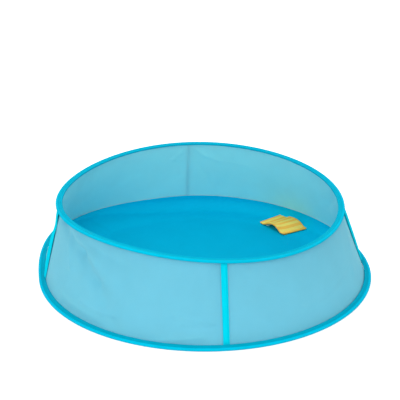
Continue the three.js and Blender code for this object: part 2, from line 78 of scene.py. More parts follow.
# Floor cloth
FLOOR_CLOTH = 1.1 * MM
FLOOR_TOP = 1.9 * MM
FLOOR_CORNER = 34 * MM
FLOOR_SLOPE_START = 400 * MM
FLOOR_TUCKS = [(-137, 4 * MM), (-132.5, 3 * MM), (-141, -2 * MM)]  # angle and rise of tucks at the left
FLOOR_TUCK_WIDTH = 10 * MM
FLOOR_CUT_RADIUS = 505 * MM
CORNER_TIGHTENING = 0.85  # how much of the corner's radius the swell takes away
TURN_UP = 43 * MM
TURN_UP_WAVE = 14 * MM
TURN_UP_PEAK = -122
TURN_UP_SAG = 17 * MM  # how much lower the edge is where the hoop swells
TURN_UP_SAG_POWER = 0.6
TURN_UP_DEPTH = 2.25 * MM
PIPING = 2.2 * MM

# Bands
TAPE = 1.1 * MM
BASE_BULGE = 4.04 * MM
RIM_BULGE = 3.79 * MM
BAND_SKIN = 0.6 * MM  # from the outside of a band to the middle of its tape
RIM_MIDDLE = RIM_RADIUS - RIM_BULGE - BAND_SKIN
BASE_MIDDLE = BASE_RADIUS - BASE_BULGE - BAND_SKIN
BAND_STEPS = 240

# Seam tapes and stays
SEAM_FOOT = 12 * MM
SEAM_HEAD_DROP = 11.6 * MM
SEAM_HEAD_GAP = 4 * MM
STAY_DEPTH = 3.2 * MM
STAY_RADIUS = 1.25 * MM
STAY_END = 5.9 * MM
FIN_STOP = 9 * MM
FIN_ASIDE = 8 * MM
FELL_WIDTH = 5 * MM
TAPE_WIDTH = 19 * MM
SEAM_BOW = 3 * MM
SEAM_BOW_START = 0.5
LEFT_TWIST = 0.3  # rise for each step across
RIGHT_TWIST = 0.15

# Drain and flap
DRAIN_PLACE = Vector((math.sin(math.radians(135)), -math.cos(math.radians(135)), 0)) * 412 * MM
FLAP_LENGTH = 112 * MM
FLAP_WIDTH = 83 * MM
FLAP_TURN = 120
FLAP_CENTRE_RADIUS = 408 * MM
FLAP_CENTRE_ANGLE = 135.3
FLAP_REST = 4.2 * MM
FLAP_FLAT_SHARE = 1 / 7
FLAP_PEAK_SHARE = 0.42
FLAP_ARCH = 11 * MM
FLAP_CORNER_LIFT = 8 * MM
FLAP_NEAR_LIFT = 5 * MM
FLAP_SKEW = 0.11  # the cloth is out of square: how far it leans along for each step to the side
FLAP_END_SPREAD = 4 * MM
FLAP_FAR_SPREAD = 6 * MM
FLAP_EDGE = 0.9 * MM  # how far the cloth's edge lies inside its binding
HOOK_INSET = 14 * MM
PATCH_SIDE = 17.75 * MM
FLOOR_PATCH_FOOT = 2.3 * MM
FLAP_PATCH_FOOT = 3.25 * MM
ANCHOR_SIZE = (14 * MM, 35.5 * MM, 1.6 * MM)
PATCH_SIZE = (16 * MM, 35.5 * MM, 0.65 * MM)

# Stitches
STITCH = 3.1 * MM
STITCH_PITCH = 4.4 * MM
THREAD = 0.34 * MM
RIM_ROWS = [("groove", 7.6 * MM, -1.65 * MM), ("edge", 13.2 * MM, -0.35 * MM)]  # name, inset, height
BASE_ROWS = [("groove", 5.4 * MM, 8.0 * MM), ("edge", 13 * MM, 11.1 * MM)]
SEAM_ROW = 7.7 * MM
FELL_ROW_SHARE = 0.2  # how far out its rows are, as a share of those on the tape


def outward(angle):
    """The unit vector that points outwards at an angle in degrees."""
    return Vector((math.sin(math.radians(angle)), -math.cos(math.radians(angle)), 0))


def angle_of(point):
    return math.degrees(math.atan2(point.x, -point.y))


def smooth(low, high, value):
    share = min(max((value - low) / (high - low), 0), 1)
    return share * share * (3 - 2 * share)


def cosine(degrees):
    return math.cos(math.radians(degrees))


def swell_share(angle):
    """How much of the base hoop's swell there is at an angle."""
    from_left = min(max((3 * QUARTER - angle % 360) / QUARTER, 0), 1)
    skew = math.log(0.5) / math.log(SWELL_PEAK_SHARE)
    return math.sin(math.pi * from_left ** skew) ** 2


def base_place(angle, radius, height):
    """Where a point of a plain round base goes with the swell."""
    share = swell_share(angle)
    rise = share * (SWELL_LIFT + SWELL_TILT_SHARE * (BASE_RADIUS - radius))
    return outward(angle) * (radius + SWELL_REACH * share) + Vector((0, 0, height + rise))


LEAN = outward(RIM_LEAN_ANGLE) * RIM_LEAN


def rim_rise(angle):
    return sum(rise * cosine(lobes * (angle - peak)) for lobes, rise, peak in RIM_WAVES)


def rim_place(angle, radius, height):
    """A point by the rim: its radius from the rim's own middle, its height from the band's top."""
    return outward(angle) * radius + LEAN + Vector((0, 0, RIM_HEIGHT + rim_rise(angle) + height))


def rim_point(angle, radius, height):
    """Where such a ring of the rim meets a direction from the base's middle."""
    out = outward(angle)
    along = LEAN.dot(out)
    point = out * (along + math.sqrt(radius ** 2 - RIM_LEAN ** 2 + along ** 2))
    point.z = RIM_HEIGHT + rim_rise(angle_of(point - LEAN)) + height
    return point


def wall_point(angle, share):
    """The wall's outer face before it bows and folds, at a share of its height."""
    foot = base_place(angle, WALL_FOOT_RADIUS, WALL_FOOT_HEIGHT)
    return foot.lerp(rim_point(angle, WALL_HEAD_RADIUS, -WALL_HEAD_DROP), share)


def wall_share(angle, height):
    foot, head = wall_point(angle, 0).z, wall_point(angle, 1).z
    return (height - foot) / (head - foot)


def turn_up(angle):
    sag = TURN_UP_SAG * swell_share(angle) ** TURN_UP_SAG_POWER
    return TURN_UP + TURN_UP_WAVE * cosine(angle - TURN_UP_PEAK) - sag


# Folds of the wall: angle and height share of both ends, half width, lift. A lift below 0 sinks in
MEAN_RADIUS = (WALL_FOOT_RADIUS + WALL_HEAD_RADIUS) / 2
WALL_SLANT = 250 * MM
FOLDS = [
    (-82, 0.97, -61, 0.72, 18 * MM, -10 * MM),
    (-61, 0.72, -50, 0.46, 21 * MM, -10 * MM),
    (-50, 0.46, -41, 0.16, 22 * MM, -7 * MM),
    (-76, 0.96, -52, 0.72, 20 * MM, 5 * MM),
    (-52, 0.72, -36, 0.36, 22 * MM, 5 * MM),
    (-78, 0.97, -40, 0.76, 15 * MM, -3 * MM),
    (-73, 0.9, -66, 0.5, 10 * MM, 3.5 * MM),
    (-68, 0.16, -48, 0.13, 7 * MM, 2.4 * MM),
    (-66, 0.08, -44, 0.05, 6 * MM, -1.8 * MM),
    (-56, 0.22, -40, 0.2, 7 * MM, 2.5 * MM),
    (-24, 0.05, -8, 0.13, 8 * MM, 2.5 * MM),
    (-18, 0.34, -6, 0.3, 6 * MM, 1.5 * MM),
    (-16, 0.22, -4, 0.24, 6 * MM, -1.5 * MM),
    (30, 0.3, 64, 0.42, 9 * MM, 1.6 * MM),
    (6, 0.95, 20, 0.62, 12 * MM, 1.3 * MM),
    (84, 0.9, 66, 0.3, 18 * MM, 1.8 * MM),
    (179, 0.96, 173, 0.82, 6 * MM, -1.1 * MM),
    (173, 0.82, 167, 0.75, 7 * MM, -0.9 * MM),
    (167, 0.75, 155, 0.73, 9 * MM, -0.7 * MM),
    (178, 0.99, 166, 0.84, 8 * MM, 0.5 * MM),
    (178, 0.84, 171, 0.4, 9 * MM, 0.8 * MM),
    (181, 0.93, 187, 0.77, 7 * MM, -1.1 * MM),
    (180.5, 0.75, 187, 0.77, 5 * MM, -0.9 * MM),
    (180.5, 0.57, 185, 0.5, 5 * MM, 0.9 * MM),
    (96, 0.96, 112, 0.5, 12 * MM, 2 * MM),
    (264, 0.96, 244, 0.6, 12 * MM, 2.4 * MM),
    (262, 0.5, 236, 0.2, 14 * MM, 2 * MM),
]


def fold_rise(fold, angle, share):
    """How far one fold lifts the cloth at a place."""
    from_angle, from_share, to_angle, to_share, width, lift = fold
    to_metres = math.radians(MEAN_RADIUS)
    from_x = ((from_angle - angle + 180) % 360 - 180) * to_metres
    from_y = (from_share - share) * WALL_SLANT
    along_x = (to_angle - from_angle) * to_metres
    along_y = (to_share - from_share) * WALL_SLANT
    t = -(from_x * along_x + from_y * along_y) / (along_x ** 2 + along_y ** 2)
    t = min(max(t, 0), 1)
    away = math.hypot(from_x + t * along_x, from_y + t * along_y) / width
    return lift * math.exp(-away * away) if away < 3 else 0


def wall_lift(angle, share):
    """How far the cloth stands out from its straight line: it bows in, and folds and ripples."""
    across = (angle % QUARTER) / QUARTER
    turned = wall_share(angle, turn_up(angle) + PIPING + BOW_GAP)
    free = min(max((share - turned) / (1 - turned), 0), 1)
    bow = WALL_BOW * math.sin(math.pi * across) ** 2 * math.sin(math.pi * free)
    to_seam = min(across, 1 - across) * QUARTER
    hold = smooth(0.8, 3.5, to_seam) * smooth(0.01, 0.07, share) * smooth(0.005, 0.06, 1 - share)
    folds = sum(fold_rise(fold, angle, share) for fold in FOLDS)
    place = outward(angle) * 4
    ripple = noise.noise(Vector((place.x, place.y, share * 1.6))) * RIPPLE
    crumple = noise.noise(Vector((place.x * 4, place.y * 4, share * 5 + 7))) * CRUMPLE
    return hold * (folds + ripple + crumple) - bow


def wall_face(angle, share, depth):
    """A point so deep inside the wall's outer face, with its folds."""
    return wall_point(angle, share) + outward(angle) * (wall_lift(angle, share) - depth)


# Making and finishing pieces
def clear_selection():
    bpy.ops.object.select_all(action="DESELECT")


def named(name):
    """Names the piece that was just added, and puts its place in its mesh."""
    piece = bpy.context.object
    piece.name = name
    piece.data.name = name
    bpy.ops.object.transform_apply(location=True, rotation=True, scale=True)
    return piece


def activate(piece):
    """Selects one piece alone."""
    clear_selection()
    piece.select_set(True)
    bpy.context.view_layer.objects.active = piece


def edit_mode(piece):
    activate(piece)
    bpy.ops.object.mode_set(mode="EDIT")
    bpy.ops.mesh.select_all(action="SELECT")


def object_mode():
    bpy.ops.object.mode_set(mode="OBJECT")


def merge_doubles(piece):
    """Joins the points where a mesh meets itself, and turns its faces outwards."""
    edit_mode(piece)
    bpy.ops.mesh.remove_doubles(threshold=0.01 * MM)
    bpy.ops.mesh.normals_make_consistent(inside=False)
    object_mode()


def move_points(piece, place):
    """Moves each vertex to where place says."""
    for vertex in piece.data.vertices:
        vertex.co = place(vertex.co.copy())
    piece.data.update()


def set_uv(piece, place):
    """Writes the cloth's own flat coordinates, in metres. Place takes a vertex and its face's middle."""
    mesh = piece.data
    layer = mesh.uv_layers.active or mesh.uv_layers.new(name="cloth")
    for polygon in mesh.polygons:
        for loop in polygon.loop_indices:
            corner = mesh.vertices[mesh.loops[loop].vertex_index].co
            layer.data[loop].uv = place(corner, polygon.center)


def ring_uv(corner, middle):
    """Length round the ring, and distance across the tape."""
    turn = (angle_of(corner) - angle_of(middle) + 180) % 360 - 180
    round_length = math.radians(angle_of(middle) + turn) * BASE_RADIUS
    return round_length, math.hypot(corner.x, corner.y) + corner.z


def apply_modifier(piece, kind, **settings):
    activate(piece)
    modifier = piece.modifiers.new(kind, kind)
    for name, value in settings.items():
        setattr(modifier, name, value)
    bpy.ops.object.modifier_apply(modifier=modifier.name)


def thicken(piece, thickness, rounds=1):
    """Gives a sheet its thickness either side, and rounds it."""
    apply_modifier(piece, "SOLIDIFY", thickness=thickness, offset=0)
    if rounds:
        apply_modifier(piece, "SUBSURF", levels=rounds, render_levels=rounds)
    finish_mesh(piece)


def finish_mesh(piece):
    edit_mode(piece)
    bpy.ops.mesh.normals_make_consistent(inside=False)
    object_mode()
    bpy.ops.object.shade_smooth()


def paint(piece, finish):
    piece.data.materials.clear()
    piece.data.materials.append(finish)


def dress(piece, finish, body=None):
    """Gives a piece its material and its body, or else bakes its place into its mesh."""
    paint(piece, finish)
    if body:
        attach(piece, body)
    else:
        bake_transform(piece)
    return piece


def tape_ring(name, line, steps=BAND_STEPS):
    """A tape round Z: a circle, extruded and resized along a line of radius and height."""
    clear_selection()
    radius, height = line[0]
    bpy.ops.mesh.primitive_circle_add(vertices=steps, radius=radius, location=(0, 0, height))
    piece = named(name)
    edit_mode(piece)
    for next_radius, next_height in line[1:]:
        step = {"value": (0, 0, next_height - height)}
        bpy.ops.mesh.extrude_region_move(TRANSFORM_OT_translate=step)
        grow = next_radius / radius
        bpy.ops.transform.resize(value=(grow, grow, 1), center_override=(0, 0, 0))
        radius, height = next_radius, next_height
    object_mode()
    return piece


def closed_ring(name, line, steps=BAND_STEPS):
    """A solid ring, whose line comes back to its start."""
    piece = tape_ring(name, [*line, line[0]], steps)
    merge_doubles(piece)
    return piece


def cloth_grid(name, columns, rows, place, size):
    """A cloth of even squares, laid where place puts its across and up shares."""
    clear_selection()
    bpy.ops.mesh.primitive_grid_add(x_subdivisions=columns, y_subdivisions=rows, size=1)
    piece = named(name)
    for corner in piece.data.uv_layers.active.data:
        corner.uv = (corner.uv[0] * size[0], corner.uv[1] * size[1])
    move_points(piece, lambda co: place(co.x + 0.5, co.y + 0.5))
    return piece


def bulge(middle_radius, middle_height, radius, steps=8):
    """Points round the outside of a hoop, from underneath to the top."""
    turns = [math.pi * (i / steps - 0.5) for i in range(steps + 1)]
    return [
        (middle_radius + radius * math.cos(turn), middle_height + radius * math.sin(turn))
        for turn in turns
    ]


# Finishes
def srgb(red, green, blue):
    """A colour as it looks on a screen, from 0 to 255, in Blender's linear values."""
    shares = [value / 255 for value in (red, green, blue)]
    return tuple(s / 12.92 if s <= 0.04045 else ((s + 0.055) / 1.055) ** 2.4 for s in shares)


def new_finish(name, color, roughness, **sockets):
    """A material with its plain values set on its shader. Returns it, its tree and its shader."""
    finish = bpy.data.materials.new(name)
    finish.use_nodes = True
    shader = finish.node_tree.nodes["Principled BSDF"]
    shader.inputs["Base Color"].default_value = (*color, 1)
    shader.inputs["Roughness"].default_value = roughness
    for socket, value in sockets.items():
        shader.inputs[socket.replace("_", " ")].default_value = value
    return finish, finish.node_tree, shader


def wire(tree, value, socket):
    """Sets a socket to a number, or links another socket to it."""
    if isinstance(value, bpy.types.NodeSocket):
        tree.links.new(value, socket)
    else:
        socket.default_value = value


def calculate(tree, operation, *values):
    made = tree.nodes.new("ShaderNodeMath")
    made.operation = operation
    for socket, value in zip(made.inputs, values):
        wire(tree, value, socket)
    return made.outputs[0]


def cloth_place(tree):
    """The cloth's own coordinates, in metres: both together, along and across."""
    source = tree.nodes.new("ShaderNodeTexCoord").outputs["UV"]
    parts = tree.nodes.new("ShaderNodeSeparateXYZ")
    tree.links.new(source, parts.inputs[0])
    return source, parts.outputs["X"], parts.outputs["Y"]


def waves(tree, place, pitch):
    """A sine along one coordinate, from -1 to 1."""
    return calculate(tree, "SINE", calculate(tree, "MULTIPLY", place, 2 * math.pi / pitch))


def grain(tree, place, size, detail=3):
    """A soft noise whose patches are about so large."""
    made = tree.nodes.new("ShaderNodeTexNoise")
    tree.links.new(place, made.inputs["Vector"])
    made.inputs["Scale"].default_value = 1 / size
    made.inputs["Detail"].default_value = detail
    return made.outputs["Fac"]


def blend_colors(tree, share, first, second):
    made = tree.nodes.new("ShaderNodeMix")
    made.data_type = "RGBA"
    wire(tree, share, made.inputs[0])
    for value, socket in ((first, made.inputs[6]), (second, made.inputs[7])):
        wire(tree, (*value, 1) if isinstance(value, tuple) else value, socket)
    return made.outputs[2]


def relief(tree, shader, *layers):
    """Stacks bumps on the shader's normal, each a height and how many metres tall it is."""
    below = None
    for height, depth in layers:
        made = tree.nodes.new("ShaderNodeBump")
        made.inputs["Distance"].default_value = depth
        tree.links.new(height, made.inputs["Height"])
        if below:
            tree.links.new(below, made.inputs["Normal"])
        below = made.outputs["Normal"]
    tree.links.new(below, shader.inputs["Normal"])


def tint(color, share):
    return tuple(value * share for value in color)


def clamped(tree, value, factor, added):
    """A value times a factor, with some added, kept from 0 to 1."""
    made = calculate(tree, "MULTIPLY_ADD", value, factor, added)
    made.node.use_clamp = True
    return made


def set_color(tree, shader, share, first, second):
    tree.links.new(blend_colors(tree, share, first, second), shader.inputs["Base Color"])


def object_place(tree):
    return tree.nodes.new("ShaderNodeTexCoord").outputs["Object"]


def woven_finish(name, color, roughness, thread, crease, painted_light_color=None, **sockets):
    """Coated plain-weave cloth: crossed threads, a faint mottle and soft packing creases.

    The optional paler colour is painted light: a round cloth turns to it towards its edge, where its
    turned-up part faces slightly down and gets less light.
    """
    finish, tree, shader = new_finish(name, color, roughness, **sockets)
    place, along, across = cloth_place(tree)
    weave = calculate(tree, "MULTIPLY", waves(tree, along, thread), waves(tree, across, thread))
    mottle = grain(tree, place, 90 * MM)
    mottle_and_painted_light = blend_colors(tree, mottle, tint(color, 0.94), tint(color, 1.05))
    threads = calculate(tree, "MULTIPLY_ADD", weave, 0.5, 0.5)
    # Painted light: the colour turns paler towards the round cloth's edge.
    if painted_light_color:
        reach = tree.nodes.new("ShaderNodeVectorMath")
        reach.operation = "LENGTH"
        tree.links.new(place, reach.inputs[0])
        edge = clamped(tree, reach.outputs["Value"], 1 / PAINTED_LIGHT_WIDTH, -PAINTED_LIGHT_START / PAINTED_LIGHT_WIDTH)
        mottle_and_painted_light = blend_colors(tree, edge, mottle_and_painted_light, painted_light_color)
    set_color(tree, shader, calculate(tree, "MULTIPLY", threads, 0.06), mottle_and_painted_light, tint(color, 0.7))
    creases = grain(tree, place, 45 * MM, 5)
    relief(tree, shader, (weave, 0.05 * MM), (creases, crease))
    return finish


def ribbed_finish(name, color, roughness, rib, painted_shade=None, **sockets):
    """Binding tape: fine ribs across it, with painted shade in the valleys between them.

    The optional pair gives how far across the tape its flat part reaches, and how much darker that part is
    painted than the bulge: painted shade, where the part faces up or sits in a slot and gets less light.
    """
    finish, tree, shader = new_finish(name, color, roughness, **sockets)
    place, along, across = cloth_place(tree)
    ribs = waves(tree, along, rib)
    threads = calculate(tree, "MULTIPLY", ribs, waves(tree, across, rib * 0.6))
    mottle = grain(tree, place, 40 * MM)
    mottle_and_painted_light = blend_colors(tree, mottle, tint(color, 0.9), tint(color, 1.08))
    if painted_shade:
        # Painted shade: the tape is darkened below the given reach across it.
        flat = clamped(tree, across, -1 / PAINTED_SHADE_EDGE, painted_shade[0] / PAINTED_SHADE_EDGE + 0.5)
        mottle_and_painted_light = blend_colors(tree, calculate(tree, "MULTIPLY", flat, painted_shade[1]), mottle_and_painted_light, tint(color, 0.2))
    # Painted shade: darker in the valleys between the ribs.
    rib_shade = calculate(tree, "MULTIPLY_ADD", ribs, -0.07, 0.07)
    set_color(tree, shader, rib_shade, mottle_and_painted_light, tint(color, 0.5))
    relief(tree, shader, (ribs, 0.1 * MM), (threads, 0.05 * MM), (mottle, 0.6 * MM))
    return finish


def thread_finish(name, color):
    """Sewing thread, with its twist."""
    finish, tree, shader = new_finish(name, color, 0.6, Specular_IOR_Level=0.15)
    source = object_place(tree)
    twist = grain(tree, source, 0.5 * MM, 1)
    set_color(tree, shader, twist, tint(color, 0.8), tint(color, 1.1))
    relief(tree, shader, (twist, 0.08 * MM))
    return finish


def striped_finish(name, first, second):
    """The flap's cloth: wide stripes across it, in fine ribs of looped yarn."""
    finish, tree, shader = new_finish(name, first, 0.9, Specular_IOR_Level=0.1)
    place, along, across = cloth_place(tree)
    ragged = calculate(tree, "MULTIPLY_ADD", grain(tree, place, 7 * MM), 3 * MM, -1.5 * MM)
    shifted = calculate(tree, "ADD", along, ragged)
    stripes = waves(tree, calculate(tree, "ADD", shifted, 1.2 * MM), STRIPE_PITCH)
    edge = clamped(tree, stripes, 2.6, 0.35)
    yarn = calculate(tree, "MULTIPLY", waves(tree, along, 1.9 * MM), waves(tree, across, 2.3 * MM))
    colored = blend_colors(tree, edge, first, second)
    fleck = calculate(tree, "MULTIPLY_ADD", yarn, 0.09, 0.09)
    set_color(tree, shader, fleck, colored, tint(second, 0.6))
    fuzz = grain(tree, place, 1.1 * MM, 4)
    relief(tree, shader, (yarn, 0.15 * MM), (fuzz, 0.25 * MM))
    return finish


def moulded_finish(name, color, roughness, **sockets):
    """Moulded rubber or plastic with a fine matt grain and a little grime."""
    finish, tree, shader = new_finish(name, color, roughness, **sockets)
    source = object_place(tree)
    fine = grain(tree, source, 0.7 * MM, 2)
    broad = grain(tree, source, 14 * MM)
    set_color(tree, shader, broad, tint(color, 0.9), tint(color, 1.06))
    worn = calculate(tree, "MULTIPLY_ADD", broad, 0.2, roughness - 0.1)
    tree.links.new(worn, shader.inputs["Roughness"])
    relief(tree, shader, (fine, 0.05 * MM))
    return finish


def drawn_wire_finish(name, color, roughness):
    """Drawn steel, with fine scratches and matt patches."""
    finish, tree, shader = new_finish(name, color, roughness, Metallic=1.0)
    source = object_place(tree)
    patches = grain(tree, source, 9 * MM, 4)
    set_color(tree, shader, patches, tint(color, 0.75), color)
    worn = calculate(tree, "MULTIPLY_ADD", patches, 0.3, roughness - 0.12)
    tree.links.new(worn, shader.inputs["Roughness"])
    relief(tree, shader, (grain(tree, source, 0.4 * MM, 1), 0.03 * MM))
    return finish


WALL_BLUE = srgb(109, 189, 210)
# Inside face of the wall cloth: partly its own paler lining tint, partly painted light that makes up for
# the dimmer, bluer light inside the bath.
LINING_AND_PAINTED_LIGHT_BLUE = srgb(152, 228, 235)
BAND_BLUE = srgb(0, 191, 224)
SEAM_BLUE = srgb(0, 218, 240)
FLOOR_BLUE = srgb(0, 166, 203)
# Painted light: the floor cloth's turned-up edge is painted paler, since it faces slightly down and gets
# less light.
FLOOR_EDGE_PAINTED_LIGHT_BLUE = srgb(0, 190, 227)
FLAP_LIME = srgb(252, 224, 112)
FLAP_ORANGE = srgb(255, 192, 82)
# Painted shade: the reach over which the shade painted on a tape fades in.
PAINTED_SHADE_EDGE = 4 * MM
# Where the painted light on the floor cloth's edge starts, and how wide it fades in.
PAINTED_LIGHT_START = 370 * MM
PAINTED_LIGHT_WIDTH = 100 * MM
STRIPE_PITCH = 22.7 * MM

THIN_CLOTH = {
    "Specular_IOR_Level": 0.1, "Subsurface_Weight": 0.5, "Subsurface_Scale": 1.5 * MM,
    "Subsurface_Radius": (1.0, 1.0, 1.0),
}
wall_cloth = woven_finish("wall cloth", WALL_BLUE, 0.75, 0.9 * MM, 0.9 * MM, **THIN_CLOTH)
# Inside colour: its own tint with painted light added.
wall_lining_and_painted_light = woven_finish("wall cloth inside", LINING_AND_PAINTED_LIGHT_BLUE, 0.75, 0.9 * MM, 0.9 * MM, **THIN_CLOTH)
# Painted light on the floor cloth's turned-up edge.
floor_cloth = woven_finish("floor cloth", FLOOR_BLUE, 0.6, 0.7 * MM, 0.9 * MM, FLOOR_EDGE_PAINTED_LIGHT_BLUE,
                           Specular_IOR_Level=0.02)
# Painted shade on the flat inner parts of the rim and base tapes, which get less light than their bulges.
rim_tape = ribbed_finish("rim tape", BAND_BLUE, 0.8, 1.1 * MM, (RIM_RADIUS - 7 * MM, 0.25),
                         Specular_IOR_Level=0.02)
base_tape = ribbed_finish("base tape", BAND_BLUE, 0.8, 1.1 * MM, (BASE_RADIUS + 1 * MM, 0.36),
                          Specular_IOR_Level=0.02)
seam_cloth = ribbed_finish("seam tape", SEAM_BLUE, 0.8, 1.1 * MM, Specular_IOR_Level=0.02)
# Painted shade on the top 45 mm of each seam fin, in the shaded slot behind its tape near the rim.
fin_cloth = ribbed_finish("seam fin cloth", SEAM_BLUE, 0.8, 1.1 * MM, (45 * MM, 0.6),
                          Specular_IOR_Level=0.02)
piping_cord = ribbed_finish("piping cord", srgb(186, 222, 226), 0.8, 1.0 * MM, Specular_IOR_Level=0.15)
flap_cloth = striped_finish("striped cloth", FLAP_LIME, FLAP_ORANGE)
flap_hem = ribbed_finish("flap binding", FLAP_ORANGE, 0.8, 1.3 * MM, Specular_IOR_Level=0.1)
band_thread = thread_finish("band thread", srgb(0, 205, 240))
wall_thread = thread_finish("wall thread", srgb(150, 226, 244))
loop_tape = moulded_finish("loop tape", srgb(238, 238, 232), 0.95)
black_rubber = moulded_finish("black rubber", srgb(38, 38, 40), 0.7)
stay_rod = moulded_finish("stay rod", srgb(232, 228, 214), 0.4)
soft_vinyl = moulded_finish("soft vinyl", srgb(224, 234, 240), 0.4, Specular_IOR_Level=0.4)
hoop_steel = drawn_wire_finish("hoop steel", srgb(168, 172, 178), 0.35)
ferrule_steel = drawn_wire_finish("ferrule steel", srgb(190, 193, 197), 0.4)


# Camera
def add_camera():
    """The photograph's view: a little from the left, a long lens, from above."""
    azimuth, elevation, distance = math.radians(-7), math.radians(23.74), 5.0
    target = Vector((-0.01489, 0.00183, 0.2375))
    level = math.cos(elevation)
    back = Vector((math.sin(azimuth) * level, -math.cos(azimuth) * level, math.sin(elevation)))
    bpy.ops.object.camera_add(location=target + back * distance)
    camera = bpy.context.object
    camera.name = "camera"
    camera.rotation_euler = (-back).to_track_quat("-Z", "Y").to_euler()
    camera.data.lens = 151.83
    camera.data.sensor_width = 36
    bpy.context.scene.camera = camera


add_camera()


# Stage and lamps
GROUND_GLOW = 0.4


def background_rays(tree):
    """1 for the rays that see the background: from the camera, off metal and through clear pieces."""
    seen = tree.nodes.new("ShaderNodeLightPath")
    rays = calculate(tree, "MAXIMUM", seen.outputs["Is Camera Ray"], seen.outputs["Is Glossy Ray"])
    return calculate(tree, "MAXIMUM", rays, seen.outputs["Is Transmission Ray"])


def add_stage():
    """A white floor that keeps a soft shadow."""
    clear_selection()
    bpy.ops.mesh.primitive_circle_add(vertices=64, radius=14, fill_type="NGON")
    ground = bpy.context.object
    ground.name = "ground"
    finish, tree, shader = new_finish("ground", (0.9, 0.9, 0.9), 1.0, Specular_IOR_Level=0)
    glow = tree.nodes.new("ShaderNodeEmission")
    both = tree.nodes.new("ShaderNodeAddShader")
    output = tree.nodes["Material Output"]
    strength = calculate(tree, "MULTIPLY", background_rays(tree), GROUND_GLOW)
    tree.links.new(strength, glow.inputs["Strength"])
    tree.links.new(shader.outputs[0], both.inputs[0])
    tree.links.new(glow.outputs[0], both.inputs[1])
    tree.links.new(both.outputs[0], output.inputs["Surface"])
    ground.data.materials.append(finish)


def add_world(level):
    """White where it is seen, and an even light all round."""
    world = bpy.data.worlds.new("studio")
    bpy.context.scene.world = world
    world.use_nodes = True
    tree = world.node_tree
    strength = calculate(tree, "MULTIPLY_ADD", background_rays(tree), 1 - level, level)
    tree.nodes["Background"].inputs["Color"].default_value = (1, 1, 1, 1)
    tree.links.new(strength, tree.nodes["Background"].inputs["Strength"])


def add_lamp(name, place, size, watts):
    """A soft square lamp that points at the middle of the bath."""
    bpy.ops.object.light_add(type="AREA", location=place)
    lamp = bpy.context.object
    lamp.name = name
    lamp.data.size = size
    lamp.data.energy = watts
    aim = Vector((0, 0, 0.12)) - Vector(place)
    lamp.rotation_euler = aim.to_track_quat("-Z", "Y").to_euler()


add_stage()
add_world(0.85)
add_lamp("key lamp", (-1.0, -3.3, 2.1), 2.0, 45)
add_lamp("top lamp", (-0.2, 0.1, 3.2), 1.2, 30)
bpy.context.scene.view_settings.view_transform = "Standard"


# Wall panels
def wall_panel(panel, start):
    gap = math.degrees(SEAM_GAP / 2 / MEAN_RADIUS)

    def place(across, up):
        angle = start + gap + across * (QUARTER - 2 * gap)
        return wall_face(angle, WALL_LOW_SHARE + WALL_CLOTH_SHARE * up, WALL_DEPTH)

    width = math.radians(QUARTER) * MEAN_RADIUS
    piece = cloth_grid(f"wall_cloth_{panel}", 170, 60, place, (width, WALL_SLANT))
    thicken(piece, WALL_CLOTH, 0)
    dress(piece, wall_cloth)
    # Inner faces take the inside colour, which holds painted light.
    piece.data.materials.append(wall_lining_and_painted_light)
    for face in piece.data.polygons:
        face.material_index = 1 if face.normal.dot(face.center) < 0 else 0
    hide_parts(f"wall_{panel}")


# Bands round the hoops
def pucker(angle, size, seed):
    """The small waves that sewing leaves along a band."""
    place = outward(angle) * size
    return noise.noise(Vector((place.x, place.y, seed)))


def rim_band():
    line = [
        (RIM_MIDDLE - 11.2 * MM, -5.4 * MM),
        (RIM_MIDDLE - 6 * MM, -7 * MM),
        *bulge(RIM_MIDDLE, -RIM_BULGE - BAND_SKIN, RIM_BULGE),
        (RIM_MIDDLE - 3.4 * MM, -1.1 * MM),
        (RIM_MIDDLE - 6.2 * MM, -2.0 * MM),
        (RIM_MIDDLE - 8.2 * MM, -2.2 * MM),
        (RIM_MIDDLE - 10.5 * MM, -1.6 * MM),
        (RIM_MIDDLE - 13.4 * MM, -0.9 * MM),
        (RIM_MIDDLE - 15.1 * MM, -1.2 * MM),
        (RIM_MIDDLE - 15.5 * MM, -2.6 * MM),
        (RIM_MIDDLE - 15.4 * MM, -5.2 * MM),
    ]
    piece = tape_ring("rim_band_tape", line)
    set_uv(piece, ring_uv)

    def place(co):
        angle, radius = angle_of(co), math.hypot(co.x, co.y)
        inner = smooth(0, 14 * MM, RIM_MIDDLE - radius)
        radius += inner * pucker(angle, 26, 3) * 0.5 * MM
        height = co.z + inner * pucker(angle, 40, 9) * 0.45 * MM
        return rim_place(angle, radius, height)

    move_points(piece, place)
    thicken(piece, TAPE)
    dress(piece, rim_tape, "rim")
    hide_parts("rim_band")


